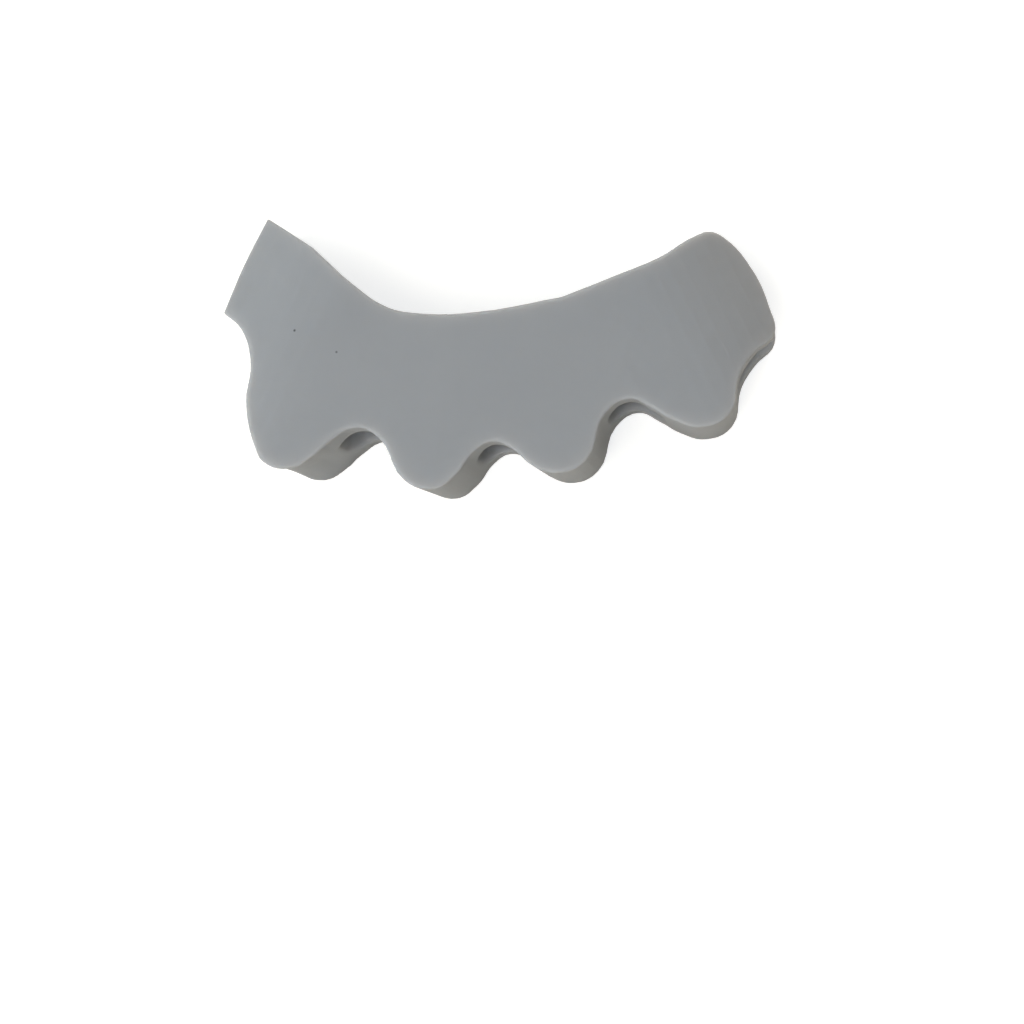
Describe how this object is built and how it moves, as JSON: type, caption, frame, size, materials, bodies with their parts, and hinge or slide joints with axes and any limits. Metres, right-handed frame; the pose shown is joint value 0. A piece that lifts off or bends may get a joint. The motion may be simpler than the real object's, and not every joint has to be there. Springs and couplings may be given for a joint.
{
  "type": "toe separator",
  "caption": "Soft grey silicone toe separator with a scalloped front edge, closed loops between its pillars and an open cup under a drooping wing at each end.",
  "frame": {"origin": "middle of the footprint, on the flat underside", "axes": "+X from the big toe to the little toe, the toes point towards -Y, +Z out of the top face"},
  "size_m": [0.0902, 0.049, 0.0217],
  "materials": {
    "silicone": "matte"
  },
  "bodies": {
    "root": {"toe_separator": "silicone"}
  },
  "joints": []
}
